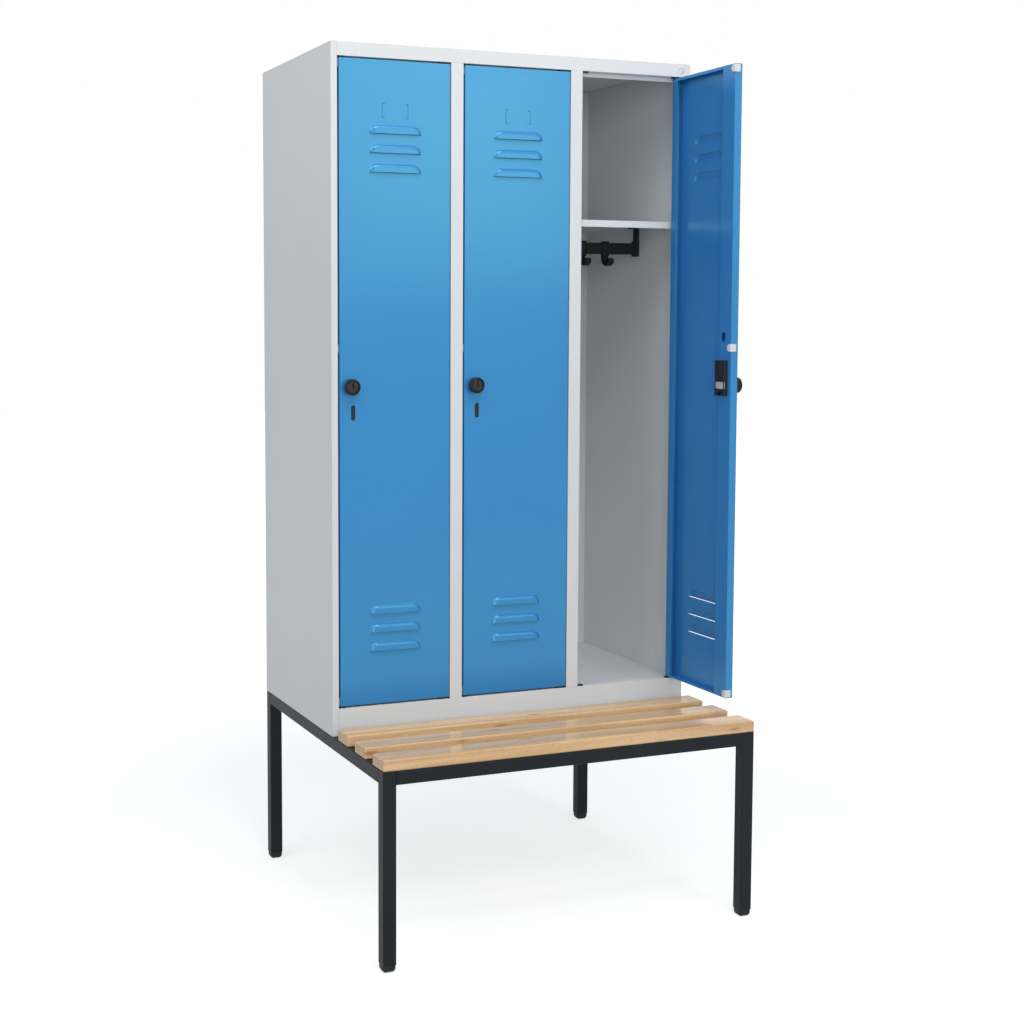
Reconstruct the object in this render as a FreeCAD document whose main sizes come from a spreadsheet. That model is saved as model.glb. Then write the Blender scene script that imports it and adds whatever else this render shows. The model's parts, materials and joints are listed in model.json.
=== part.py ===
"""Steel clothes locker with three doors on a tube frame with a slatted bench.

Millimetres, +Z up. The origin is on the floor, in the middle of the footprint.
X runs along the front, -Y points out of the doors. Two doors are shut and the
right one stands open.
"""
import FreeCAD
import Part
import Sketcher
import os
import re

# Driving dimensions
SIZES = {
    # steel carcass
    "body_width": 900.0,
    "body_depth": 500.0,
    "body_height": 1530.0,
    "sheet": 1.0,
    "header_height": 30.0,
    "plinth_height": 62.5,
    "stile_width": 15.0,
    "post_width": 30.0,
    "post_depth": 22.5,
    "stop_lip": 10.0,
    "floor_drop": 6.0,
    "badge_width": 18.0,
    "badge_height": 15.0,
    "badge_thickness": 0.8,
    "badge_inset": 24.0,
    # hat shelves
    "hat_space": 337.5,
    "shelf_flange": 16.0,
    "shelf_setback": 30.0,
    # coat rails, their brackets and hooks
    "rail_drop": 57.5,
    "rail_height": 28.0,
    "rail_thickness": 10.0,
    "rail_length": 248.0,
    "rail_setback": 200.0,
    "rail_round": 3.0,
    "bracket_width": 11.0,
    "bracket_arm": 8.0,
    "bracket_depth": 16.0,
    "bracket_wall": 5.0,
    "bracket_foot_depth": 38.0,
    "bracket_foot_height": 6.0,
    "rail_clearance": 0.2,
    "hook_width": 12.0,
    "hook_wall": 3.5,
    "hook_pitch": 63.0,
    "hook_shift": 25.0,
    "hook_drop": 29.5,
    "hook_stem": 14.0,
    "hook_bow_radius": 20.0,
    "hook_bow_wall": 11.0,
    "hook_tip_drop": 6.0,
    # tube frame under the carcass
    "base_height": 427.5,
    "bench_depth": 312.0,
    "tube_side": 30.0,
    "tube_wall": 2.0,
    "tube_round": 2.5,
    "foot_height": 16.0,
    "foot_inset": 1.0,
    "foot_round": 6.0,
    "foot_plug": 20.0,
    "plug_clearance": 0.1,
    # bench slats and the bolts that hold them from below
    "slat_width": 63.0,
    "slat_thickness": 25.0,
    "slat_pitch": 107.0,
    "slat_round": 3.0,
    "bolt_diameter": 6.0,
    "bolt_head": 11.0,
    "bolt_head_height": 4.0,
    "bolt_grip": 15.0,
    "bolt_clearance": 0.1,
    # doors
    "door_depth": 18.0,
    "door_gap": 4.0,
    "free_gap": 4.0,
    "hinge_gap": 2.5,
    "free_lip": 49.0,
    "hinge_lip": 21.0,
    "head_lip": 7.0,
    "foot_lip": 3.0,
    "right_door_angle": 90.0,
    # pivot pins and their bushes
    "pivot_inset": 7.5,
    "pivot_depth": 5.5,
    "pin_diameter": 5.0,
    "pin_clearance": 0.05,
    "pin_grip": 12.0,
    "bush_plate": 3.0,
    "bush_length": 28.0,
    "bush_depth": 11.0,
    "bush_wall": 1.5,
    "bush_sleeve": 12.0,
    "corner_pad": 16.0,
    # pressed louvres and label tabs in the door skin
    "louvre_length": 123.0,
    "louvre_height": 18.5,
    "louvre_depth": 5.0,
    "louvre_flat": 9.0,
    "louvre_pitch": 42.2,
    "louvre_top": 141.0,
    "louvre_bottom": 120.5,
    "label_width": 63.0,
    "label_height": 32.0,
    "label_top": 92.5,
    "label_tab": 7.0,
    "label_rim": 1.6,
    # turn knob, lock case and bolt
    "lock_inset": 31.5,
    "lock_height": 718.5,
    "knob_inset": 25.0,
    "knob_diameter": 36.0,
    "knob_neck": 18.0,
    "knob_standoff": 5.0,
    "knob_head": 15.0,
    "knob_round": 4.0,
    "knob_back_round": 8.0,
    "knob_clearance": 0.3,
    "keyway_width": 2.2,
    "keyway_height": 10.0,
    "keyway_depth": 3.0,
    "spindle_diameter": 10.0,
    "spindle_reach": 4.0,
    "case_width": 38.0,
    "case_depth": 9.5,
    "case_above": 56.5,
    "case_below": 23.5,
    "case_fork": 14.0,
    "fork_height": 8.0,
    "latch_length": 32.0,
    "latch_height": 17.0,
    "latch_thickness": 3.0,
    "latch_cover": 1.2,
    "latch_lip": 0.8,
    "latch_clearance": 0.2,
    "slot_width": 10.0,
    "slot_height": 34.0,
    "slot_drop": 57.5,
    "spare_hole_width": 16.0,
    "spare_hole_height": 22.0,
    "spare_hole_rise": 109.5,
    # plastic buffers on the free edge of a door
    "buffer_height": 17.0,
    "buffer_reach": 12.0,
    "buffer_side": 13.0,
    "buffer_thickness": 3.0,
    "buffer_edge": 1.2,
    "buffer_end": 1.5,
    "buffer_rise": 85.0,
}

# Places that follow from the driving dimensions
DERIVED = {
    "front": "(bench_depth - body_depth) / 2",
    "rear": "front + body_depth",
    "bench_front": "front - bench_depth",
    "half_width": "body_width / 2",
    "top": "base_height + body_height",
    "opening_top": "top - header_height",
    "opening_bottom": "base_height + plinth_height",
    "opening_height": "opening_top - opening_bottom",
    "opening_width": "(body_width - 2 * stile_width - 2 * post_width) / 3",
    "bay_pitch": "opening_width + post_width",
    "first_opening": "stile_width - half_width",
    "floor_top": "opening_bottom - floor_drop",
    "shelf_top": "opening_top - hat_space",
    "rail_middle": "shelf_top - rail_drop",
    "rail_y": "front + rail_setback",
    "door_width": "opening_width - free_gap - hinge_gap",
    "door_height": "opening_height - 2 * door_gap",
    "free_edge": "pivot_inset - door_width",
    "door_face": "-pivot_depth",
    "door_back": "door_depth - pivot_depth",
    "lock_x": "free_edge + lock_inset",
    "lock_z": "lock_height - door_gap",
    "knob_x": "free_edge + knob_inset",
    "door_middle": "pivot_inset - door_width / 2",
    "bush_radius": "pin_diameter / 2 + pin_clearance + bush_wall",
}

BAYS = ("left", "middle", "right")
AXIS_X = FreeCAD.Vector(1, 0, 0)
AXIS_Y = FreeCAD.Vector(0, 1, 0)
AXIS_Z = FreeCAD.Vector(0, 0, 1)
TOLERANCE = 0.001

doc = FreeCAD.newDocument("clothes_locker")
sheet = doc.addObject("Spreadsheet::Sheet", "Sizes")
for row, (size_name, size_value) in enumerate(SIZES.items(), start=1):
    sheet.set(f"A{row}", size_name)
    sheet.set(f"B{row}", str(size_value))
    sheet.setAlias(f"B{row}", size_name)
doc.recompute()

sub_parts = []


def expand(text):
    """Write out derived places and point each size at its cell."""
    def swap(found):
        word = found.group(0)
        if word in DERIVED:
            return "(" + expand(DERIVED[word]) + ")"
        return "Sizes." + word if word in SIZES else word
    return re.sub(r"[a-z_]+", swap, str(text))


def bind(item, prop, text):
    item.setExpression(prop, expand(text))


def bind_place(item, x, y, z):
    for axis_name, text in zip("xyz", (x, y, z)):
        bind(item, f"Placement.Base.{axis_name}", text)


def box(x, y, z, length, width, height):
    """A block from its lowest corner and its three sides."""
    item = doc.addObject("Part::Box", "Block")
    bind(item, "Length", length)
    bind(item, "Width", width)
    bind(item, "Height", height)
    bind_place(item, x, y, z)
    return item


def rod(x, y, z, radius, height, axis=AXIS_Z):
    """A cylinder that starts at a point and runs along an axis."""
    item = doc.addObject("Part::Cylinder", "Rod")
    item.Placement.Rotation = FreeCAD.Rotation(AXIS_Z, axis)
    bind(item, "Radius", radius)
    bind(item, "Height", height)
    bind_place(item, x, y, z)
    return item


def fuse(pieces):
    item = doc.addObject("Part::MultiFuse", "Fused")
    item.Shapes = pieces
    item.Refine = True
    return item


def cut(base, tools):
    item = doc.addObject("Part::Cut", "Pierced")
    item.Base = base
    item.Tool = tools[0] if len(tools) == 1 else fuse(tools)
    item.Refine = True
    return item


def group(pieces):
    item = doc.addObject("Part::Compound", "Group")
    item.Links = pieces
    return item


def name_part(label, item):
    item.Label = label
    sub_parts.append(item)
    return item


def plane_of(body, role):
    return next(plane for plane in body.Origin.OriginFeatures if plane.Role == role)


def sketch_on(body, role, offset="0"):
    """An empty sketch on one of the body's own planes, moved along its normal."""
    sketch = body.newObject("Sketcher::SketchObject", "Sketch")
    sketch.AttachmentSupport = [(plane_of(body, role), "")]
    sketch.MapMode = "FlatFace"
    bind(sketch, "AttachmentOffset.Base.z", offset)
    return sketch


def draw_rectangle(sketch, width, height):
    """A rectangle centred on the sketch's origin."""
    corners = [FreeCAD.Vector(x, y, 0) for x, y in ((-5, -5), (5, -5), (5, 5), (-5, 5))]
    first = sketch.GeometryCount
    for start, end in zip(corners, corners[1:] + corners[:1]):
        sketch.addGeometry(Part.LineSegment(start, end), False)
    for side in range(4):
        sketch.addConstraint(
            Sketcher.Constraint("Coincident", first + side, 2, first + (side + 1) % 4, 1))
    for side, way in enumerate(("Horizontal", "Vertical", "Horizontal", "Vertical")):
        sketch.addConstraint(Sketcher.Constraint(way, first + side))
    sketch.addConstraint(Sketcher.Constraint("Symmetric", first, 1, first + 1, 2, -1, 1))
    across = sketch.addConstraint(Sketcher.Constraint("DistanceX", first, 1, first, 2, 10.0))
    bind(sketch, f"Constraints[{across}]", width)
    upward = sketch.addConstraint(Sketcher.Constraint("DistanceY", first + 1, 1, first + 1, 2, 10.0))
    bind(sketch, f"Constraints[{upward}]", height)


def draw_circle(sketch, radius):
    """A circle round the sketch's origin."""
    circle = sketch.addGeometry(Part.Circle(FreeCAD.Vector(0, 0, 0), AXIS_Z, 5.0), False)
    sketch.addConstraint(Sketcher.Constraint("Coincident", circle, 3, -1, 1))
    size = sketch.addConstraint(Sketcher.Constraint("Radius", circle, 5.0))
    bind(sketch, f"Constraints[{size}]", radius)


def pad(body, sketch, length, inward=False):
    item = body.newObject("PartDesign::Pad", "Pad")
    item.Profile = sketch
    item.Reversed = inward
    bind(item, "Length", length)
    return item


def round_edges(body, feature, radius, picked):
    """Fillet the feature's edges that the test picks."""
    doc.recompute()
    names = [f"Edge{number}" for number, edge in enumerate(feature.Shape.Edges, start=1) if picked(edge)]
    item = body.newObject("PartDesign::Fillet", "Fillet")
    item.Base = (feature, names)
    bind(item, "Radius", radius)
    return item


def is_outer_corner(edge, reach):
    """Whether a long edge of a tube lies at its outer corners."""
    return min(abs(value) for value in edge.CenterOfMass) > reach


def size(name):
    return float(sheet.get(name))


def tube(role, length, x, y, z):
    """Square tube, centred on its line, that starts at a point and runs off a plane."""
    body = doc.addObject("PartDesign::Body", "Tube")
    sketch = sketch_on(body, role)
    draw_rectangle(sketch, "tube_side", "tube_side")
    draw_rectangle(sketch, "tube_side - 2 * tube_wall", "tube_side - 2 * tube_wall")
    wall = pad(body, sketch, length)
    outer_corner = size("tube_side") / 2 - TOLERANCE
    round_edges(body, wall, "tube_round", lambda edge: is_outer_corner(edge, outer_corner))
    bind_place(body, x, y, z)
    return body


def bar(width, height, length, radius):
    """Bar along X, centred on its line, with every edge rounded."""
    body = doc.addObject("PartDesign::Body", "Bar")
    sketch = sketch_on(body, "YZ_Plane")
    draw_rectangle(sketch, width, height)
    round_edges(body, pad(body, sketch, length), radius, lambda edge: True)
    return body


def opening_left(bay):
    return f"(first_opening + {bay} * bay_pitch)"


def opening_right(bay):
    return f"(first_opening + {bay} * bay_pitch + opening_width)"


# Tube frame: four legs, the rails between them and a rail under the carcass front
LEG_LINE_X = "half_width - tube_side / 2"
RAIL_LINE_Z = "base_height - tube_side / 2"
SIDES = (("left", -1), ("right", 1))
LEG_ROWS = (("front", "bench_front + tube_side / 2"), ("rear", "rear - tube_side / 2"))

for row_name, row_y in LEG_ROWS:
    for side_name, sign in SIDES:
        leg = tube("XY_Plane", "base_height - foot_height",
                   f"{sign} * ({LEG_LINE_X})", row_y, "foot_height")
        name_part(f"leg_{row_name}_{side_name}", leg)

CROSS_RAILS = (
    ("front_rail", "bench_front + tube_side / 2"),
    ("middle_rail", "front + tube_side / 2"),
    ("rear_rail", "rear - tube_side / 2"),
)
for rail_name, row_y in CROSS_RAILS:
    cross_rail = tube("YZ_Plane", "body_width - 2 * tube_side",
                      "tube_side - half_width", row_y, RAIL_LINE_Z)
    name_part(rail_name, cross_rail)


# Plastic feet: a rounded block under each leg and a plug inside its tube
def foot(x, y):
    body = doc.addObject("PartDesign::Body", "Foot")
    block = sketch_on(body, "XY_Plane")
    draw_rectangle(block, "tube_side - 2 * foot_inset", "tube_side - 2 * foot_inset")
    block_pad = pad(body, block, "foot_height")
    plug = sketch_on(body, "XY_Plane", "foot_height")
    plug_side = "tube_side - 2 * tube_wall - 2 * plug_clearance"
    draw_rectangle(plug, plug_side, plug_side)
    whole = pad(body, plug, "foot_plug")
    round_edges(body, whole, "foot_round",
                lambda edge: edge.BoundBox.ZMax < block_pad.Shape.BoundBox.ZMin + TOLERANCE)
    bind_place(body, x, y, "0")
    return body


name_part("feet", group([
    foot(f"{sign} * ({LEG_LINE_X})", row_y) for _, row_y in LEG_ROWS for _, sign in SIDES]))


# Bench slats, bolted from below through the side rails
SLATS = ("front", "middle", "rear")
BOLT_HOLE = "bolt_diameter / 2 + bolt_clearance"


def slat_line(number):
    return f"bench_front + slat_width / 2 + {number} * slat_pitch"


def bolt_line(number):
    """The front slat lies on the legs' tops, so its bolts stand behind the leg."""
    return f"bench_front + tube_side + bolt_head + {number} * slat_pitch"


bolts = []
for slat_number, slat_name in enumerate(SLATS):
    plank = bar("slat_width", "slat_thickness", "body_width", "slat_round")
    bind_place(plank, "-half_width", slat_line(slat_number), "base_height + slat_thickness / 2")
    holes = []
    for _, sign in SIDES:
        bolt_x = f"{sign} * ({LEG_LINE_X})"
        bolt_y = bolt_line(slat_number)
        holes.append(rod(bolt_x, bolt_y, "base_height", BOLT_HOLE, "bolt_grip + bolt_clearance"))
        head = rod(bolt_x, bolt_y, "base_height - tube_side - bolt_head_height",
                   "bolt_head / 2", "bolt_head_height")
        shank = rod(bolt_x, bolt_y, "base_height - tube_side",
                    "bolt_diameter / 2", "tube_side + bolt_grip")
        bolts.append(fuse([head, shank]))
    name_part(f"slat_{slat_name}", cut(plank, holes))
name_part("slat_bolts", group(bolts))

for side_name, sign in SIDES:
    rail_x = f"{sign} * ({LEG_LINE_X})"
    rail = tube("XZ_Plane", "body_depth + bench_depth - 2 * tube_side",
                rail_x, "rear - tube_side", RAIL_LINE_Z)
    rail_holes = [rod(rail_x, bolt_line(number), "base_height - tube_side", BOLT_HOLE, "tube_side")
                  for number in range(len(SLATS))]
    name_part(f"side_rail_{side_name}", cut(rail, rail_holes))


# Carcass: folded side panels with their front stiles
WALL_HEIGHT = "body_height - sheet"
LIP_Y = "front + post_depth - sheet"
LIP_HEIGHT = "opening_height - stop_lip"

name_part("side_panel_left", fuse([
    box("-half_width", "front", "base_height", "sheet", "body_depth", WALL_HEIGHT),
    box("-half_width", "front", "base_height", "stile_width", "sheet", WALL_HEIGHT),
    box("first_opening - sheet", "front", "base_height", "sheet", "post_depth", WALL_HEIGHT),
    box("first_opening - sheet", LIP_Y, "opening_bottom", "stop_lip + sheet", "sheet", LIP_HEIGHT),
]))
name_part("side_panel_right", fuse([
    box("half_width - sheet", "front", "base_height", "sheet", "body_depth", WALL_HEIGHT),
    box("half_width - stile_width", "front", "base_height", "stile_width", "sheet", WALL_HEIGHT),
    box("half_width - stile_width", "front", "base_height", "sheet", "post_depth", WALL_HEIGHT),
]))

# Partitions: a box post between two doors and a sheet back to the rear panel
for bay, partition_name in enumerate(("partition_left", "partition_right")):
    post_left = opening_right(bay)
    post_right = opening_left(bay + 1)
    post_middle = f"({post_left} + post_width / 2)"
    name_part(partition_name, fuse([
        box(post_left, "front", "opening_bottom", "post_width", "sheet", "opening_height"),
        box(post_left, "front", "opening_bottom", "sheet", "post_depth", "opening_height"),
        box(f"{post_right} - sheet", "front", "opening_bottom", "sheet", "post_depth", "opening_height"),
        box(f"{post_right} - sheet", LIP_Y, "opening_bottom", "stop_lip + sheet", "sheet", LIP_HEIGHT),
        box(post_left, LIP_Y, "opening_bottom", "post_width / 2 + sheet / 2", "sheet", "opening_height"),
        box(f"{post_middle} - sheet / 2", "front + post_depth", "floor_top",
            "sheet", "body_depth - post_depth - sheet", "top - sheet - floor_top"),
    ]))

PIVOT_X = [f"({opening_right(bay)} - hinge_gap - pivot_inset)" for bay in range(len(BAYS))]
PIVOT_Y = "front + pivot_depth"
BUSH_HOLE = "bush_radius + pin_clearance"
FRONT_WIDTH = "body_width - 2 * stile_width"

# Roof with the folded header over the doors and a stop lip behind each door's top
roof = fuse([
    box("-half_width", "front", "top - sheet", "body_width", "body_depth", "sheet"),
    box("first_opening", "front", "opening_top", FRONT_WIDTH, "sheet", "header_height"),
    box("first_opening", "front", "opening_top", FRONT_WIDTH, "post_depth", "sheet"),
] + [
    box(opening_left(bay), LIP_Y, "opening_top - stop_lip", "opening_width", "sheet", "stop_lip + sheet")
    for bay in range(len(BAYS))])
name_part("roof", cut(roof, [rod(x, PIVOT_Y, "opening_top", BUSH_HOLE, "sheet") for x in PIVOT_X]))

# Floor with the folded plinth under the doors
floor = fuse([
    box("sheet - half_width", "front + post_depth", "floor_top - sheet",
        "body_width - 2 * sheet", "body_depth - post_depth - sheet", "sheet"),
    box("first_opening", "front", "base_height", FRONT_WIDTH, "sheet", "plinth_height"),
    box("first_opening", "front", "opening_bottom - sheet", FRONT_WIDTH, "post_depth", "sheet"),
    box("first_opening", LIP_Y, "floor_top - sheet", FRONT_WIDTH, "sheet", "floor_drop + sheet"),
])
name_part("floor", cut(floor, [
    rod(x, PIVOT_Y, "opening_bottom - sheet", BUSH_HOLE, "sheet") for x in PIVOT_X]))

name_part("back_panel", box("sheet - half_width", "rear - sheet", "base_height",
                            "body_width - 2 * sheet", "sheet", WALL_HEIGHT))

# Plain oval plate at the right end of the header
BADGE_Z = "top - header_height / 2"
BADGE_X = "half_width - badge_inset"
BADGE_Y = "front - badge_thickness"
BADGE_HALF = "(badge_width - badge_height) / 2"
name_part("badge_plate", fuse([
    box(f"{BADGE_X} - {BADGE_HALF}", BADGE_Y, f"{BADGE_Z} - badge_height / 2",
        f"2 * {BADGE_HALF}", "badge_thickness", "badge_height"),
    rod(f"{BADGE_X} - {BADGE_HALF}", BADGE_Y, BADGE_Z, "badge_height / 2", "badge_thickness", AXIS_Y),
    rod(f"{BADGE_X} + {BADGE_HALF}", BADGE_Y, BADGE_Z, "badge_height / 2", "badge_thickness", AXIS_Y),
]))


# Hat shelves: folded trays, open below, between the partitions
def bay_inner_left(bay):
    if bay == 0:
        return "(sheet - half_width)"
    return f"({opening_left(bay)} - post_width / 2 + sheet / 2)"


def bay_inner_right(bay):
    if bay == len(BAYS) - 1:
        return "(half_width - sheet)"
    return f"({opening_right(bay)} + post_width / 2 - sheet / 2)"


SHELF_DEPTH = "body_depth - shelf_setback - sheet"
for bay, bay_name in enumerate(BAYS):
    shelf_left = bay_inner_left(bay)
    shelf_width = f"{bay_inner_right(bay)} - {shelf_left}"
    outside = box(shelf_left, "front + shelf_setback", "shelf_top - shelf_flange",
                  shelf_width, SHELF_DEPTH, "shelf_flange")
    inside = box(f"{shelf_left} + sheet", "front + shelf_setback + sheet", "shelf_top - shelf_flange",
                 f"{shelf_width} - 2 * sheet", f"{SHELF_DEPTH} - 2 * sheet", "shelf_flange - sheet")
    name_part(f"hat_shelf_{bay_name}", cut(outside, [inside]))


# Coat rails with a bracket at each end that hangs from the shelf
def bay_middle(bay):
    return f"({opening_left(bay)} + opening_width / 2)"


BRACKET_TOP = "shelf_top - sheet"
SOCKET_DEPTH = "(bracket_width - bracket_wall)"


def bracket(bay, sign):
    """Arm, clamp and foot, with a socket for the end of the rail."""
    outer_face = f"({bay_middle(bay)} + {sign} * (rail_length / 2 + bracket_wall))"
    low_x = f"{outer_face} - bracket_width" if sign > 0 else outer_face
    clamp_low = "rail_middle - rail_height / 2 - bracket_wall"
    arm_x = f"{outer_face} - bracket_arm" if sign > 0 else outer_face
    clamp = box(low_x, "rail_y - rail_thickness / 2 - bracket_wall", clamp_low, "bracket_width",
                "rail_thickness + 2 * bracket_wall", "rail_height + 2 * bracket_wall")
    arm = box(arm_x, "rail_y - bracket_depth / 2", clamp_low,
              "bracket_arm", "bracket_depth", f"{BRACKET_TOP} - ({clamp_low})")
    base = box(low_x, "rail_y - bracket_depth / 2", f"{BRACKET_TOP} - bracket_foot_height",
               "bracket_width", "bracket_foot_depth", "bracket_foot_height")
    socket_x = low_x if sign > 0 else f"{outer_face} + bracket_wall"
    socket = box(socket_x, "rail_y - rail_thickness / 2 - rail_clearance",
                 "rail_middle - rail_height / 2 - rail_clearance", SOCKET_DEPTH,
                 "rail_thickness + 2 * rail_clearance", "rail_height + 2 * rail_clearance")
    return cut(fuse([clamp, arm, base]), [socket])


brackets = []
for bay, bay_name in enumerate(BAYS):
    coat_rail = bar("rail_thickness", "rail_height", "rail_length", "rail_round")
    bind_place(coat_rail, f"{bay_middle(bay)} - rail_length / 2", "rail_y", "rail_middle")
    name_part(f"coat_rail_{bay_name}", coat_rail)
    brackets += [bracket(bay, sign) for sign in (-1, 1)]
name_part("rail_brackets", group(brackets))


# Coat hooks: a band round the rail, a stem and a half-round bow to the front
def hook(x):
    low_x = f"{x} - hook_width / 2"
    bow_z = "(rail_middle - rail_height / 2 - hook_drop + hook_bow_radius)"
    bow_y = "(rail_y + hook_stem / 2 - hook_bow_radius)"
    band = box(low_x, "rail_y - rail_thickness / 2 - rail_clearance - hook_wall",
               "rail_middle - rail_height / 2 - rail_clearance - hook_wall",
               "hook_width", "rail_thickness + 2 * rail_clearance + 2 * hook_wall",
               "rail_height + 2 * rail_clearance + 2 * hook_wall")
    stem = box(low_x, "rail_y + hook_stem / 2 - hook_bow_wall", bow_z, "hook_width", "hook_bow_wall",
               f"rail_middle - rail_height / 2 - rail_clearance - {bow_z}")
    bow = rod(low_x, bow_y, bow_z, "hook_bow_radius", "hook_width", AXIS_X)
    hollow = rod(low_x, bow_y, bow_z, "hook_bow_radius - hook_bow_wall", "hook_width", AXIS_X)
    above = box(low_x, f"{bow_y} - hook_bow_radius", f"{bow_z} - hook_tip_drop",
                "hook_width", "2 * hook_bow_radius - hook_bow_wall", "hook_bow_radius + hook_tip_drop")
    above_stem = box(low_x, f"{bow_y} - hook_bow_radius", bow_z,
                     "hook_width", "2 * hook_bow_radius", "hook_bow_radius")
    half_bow = cut(bow, [hollow, above, above_stem])
    through = box(low_x, "rail_y - rail_thickness / 2 - rail_clearance",
                  "rail_middle - rail_height / 2 - rail_clearance", "hook_width",
                  "rail_thickness + 2 * rail_clearance", "rail_height + 2 * rail_clearance")
    return cut(fuse([band, stem, half_bow]), [through])


for bay, bay_name in enumerate(BAYS):
    for place in range(3):
        hook_x = f"({bay_middle(bay)} - hook_shift + {place - 1} * hook_pitch)"
        name_part(f"hook_{bay_name}_{place + 1}", hook(hook_x))


# Pivot bushes and corner pads at the top and bottom of each opening
def bush(bay, upper):
    """A plate beside the door's end and a sleeve through the header or plinth."""
    plate_z = "opening_top - bush_plate" if upper else "opening_bottom"
    sleeve_z = "opening_top - bush_plate" if upper else "opening_bottom - bush_sleeve"
    x = PIVOT_X[bay]
    plate = box(f"{opening_right(bay)} - bush_length", "front + sheet", plate_z,
                "bush_length", "bush_depth", "bush_plate")
    sleeve = rod(x, PIVOT_Y, sleeve_z, "bush_radius", "bush_sleeve + bush_plate")
    bore = rod(x, PIVOT_Y, sleeve_z, "pin_diameter / 2 + pin_clearance", "bush_sleeve + bush_plate")
    return cut(fuse([plate, sleeve]), [bore])


name_part("hinge_bushes", group([bush(bay, upper) for bay in range(len(BAYS)) for upper in (False, True)]))

pads = []
for bay in range(len(BAYS)):
    for pad_z in ("opening_bottom", "opening_top - bush_plate"):
        pads.append(box(opening_left(bay), "front + sheet", pad_z, "corner_pad", "bush_depth", "bush_plate"))
name_part("corner_pads", group(pads))


# Door, in its own frame: origin at the foot of the pivot axis, face towards -Y
CREST_DEPTH = 0.72
CREST_RISE = 0.62


def louvre_form(length, height, depth, flat, skin):
    """Pressed louvre, open below: straight middle and quarter-turn ends.

    The section stands in the YZ plane with its open side on Z = 0, and reaches
    back through the skin by the given amount.
    """
    vector = FreeCAD.Vector
    half_middle = length / 2 - height
    knee = vector(0, -depth, flat)
    crest = vector(0, -depth * CREST_DEPTH, flat + (height - flat) * CREST_RISE)
    outline = [
        Part.makeLine(vector(0, skin, 0), vector(0, -depth, 0)),
        Part.makeLine(vector(0, -depth, 0), knee),
        Part.Arc(knee, crest, vector(0, 0, height)).toShape(),
        Part.makeLine(vector(0, 0, height), vector(0, skin, height)),
        Part.makeLine(vector(0, skin, height), vector(0, skin, 0)),
    ]
    section = Part.Face(Part.Wire(outline))
    right = section.copy()
    right.translate(vector(half_middle, 0, 0))
    left = section.copy()
    left.translate(vector(-half_middle, 0, 0))
    middle = left.extrude(vector(2 * half_middle, 0, 0))
    right_end = right.revolve(vector(half_middle, 0, 0), AXIS_Y, 90)
    left_end = left.revolve(vector(-half_middle, 0, 0), AXIS_Y, -90)
    return middle.fuse([right_end, left_end]).removeSplitter()


door_skin = box("free_edge", "door_face", "0", "door_width", "sheet", "door_height")
doc.recompute()


def louvre_rows():
    """Heights of the louvres' open edges above the foot of the door."""
    highest = door_skin.Height.Value - size("louvre_top") - size("louvre_height")
    rows = [highest - number * size("louvre_pitch") for number in range(3)]
    rows += [size("louvre_bottom") + number * size("louvre_pitch") for number in range(3)]
    return rows


def louvre_set(form):
    skin_corner = door_skin.Placement.Base
    middle_x = skin_corner.x + door_skin.Length.Value / 2
    copies = []
    for row_z in louvre_rows():
        copy = form.copy()
        copy.translate(FreeCAD.Vector(middle_x, skin_corner.y, row_z))
        copies.append(copy)
    item = doc.addObject("Part::Feature", "Louvres")
    item.Shape = Part.makeCompound(copies)
    return item


bulges = louvre_set(louvre_form(
    size("louvre_length"), size("louvre_height"), size("louvre_depth"), size("louvre_flat"), size("sheet")))
hollows = louvre_set(louvre_form(
    size("louvre_length") - 2 * size("sheet"), size("louvre_height") - size("sheet"),
    size("louvre_depth") - size("sheet"), size("louvre_flat") - size("sheet") / 2, 2 * size("sheet")))

LIP_BACK = "door_back - sheet"
RIM_Y = "door_face - label_rim / 2"
LABEL_LOW = "(door_height - label_top - label_height)"


def upright_slot(width, height, x, y, z, depth):
    """Tool for a round-ended upright slot, from its middle point."""
    straight = f"({height} - {width})"
    return [
        box(f"{x} - {width} / 2", y, f"{z} - {straight} / 2", width, depth, straight),
        rod(x, y, f"{z} - {straight} / 2", f"{width} / 2", depth, AXIS_Y),
        rod(x, y, f"{z} + {straight} / 2", f"{width} / 2", depth, AXIS_Y),
    ]


label_tabs = []
for sign in (-1, 1):
    edge = f"(door_middle + {sign} * label_width / 2)"
    rim_x = f"{edge} - label_rim" if sign > 0 else edge
    tab_x = f"{edge} - label_tab" if sign > 0 else edge
    label_tabs.append(box(rim_x, RIM_Y, LABEL_LOW, "label_rim", "label_rim / 2", "label_height"))
    for tab_z in (LABEL_LOW, f"{LABEL_LOW} + label_height - label_rim"):
        label_tabs.append(box(tab_x, RIM_Y, tab_z, "label_tab", "label_rim / 2", "label_rim"))

door_tray = fuse([
    door_skin,
    box("free_edge", "door_face", "0", "sheet", "door_depth", "door_height"),
    box("pivot_inset - sheet", "door_face", "0", "sheet", "door_depth", "door_height"),
    box("free_edge", "door_face", "0", "door_width", "door_depth", "sheet"),
    box("free_edge", "door_face", "door_height - sheet", "door_width", "door_depth", "sheet"),
    box("free_edge", LIP_BACK, "0", "free_lip", "sheet", "door_height"),
    box("pivot_inset - hinge_lip", LIP_BACK, "0", "hinge_lip", "sheet", "door_height"),
    box("free_edge + free_lip - sheet", "door_face", "0", "sheet", "door_depth", "door_height"),
    box("free_edge", LIP_BACK, "0", "door_width", "sheet", "foot_lip"),
    box("free_edge", LIP_BACK, "door_height - head_lip", "door_width", "sheet", "head_lip"),
    bulges,
] + label_tabs)

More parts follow.
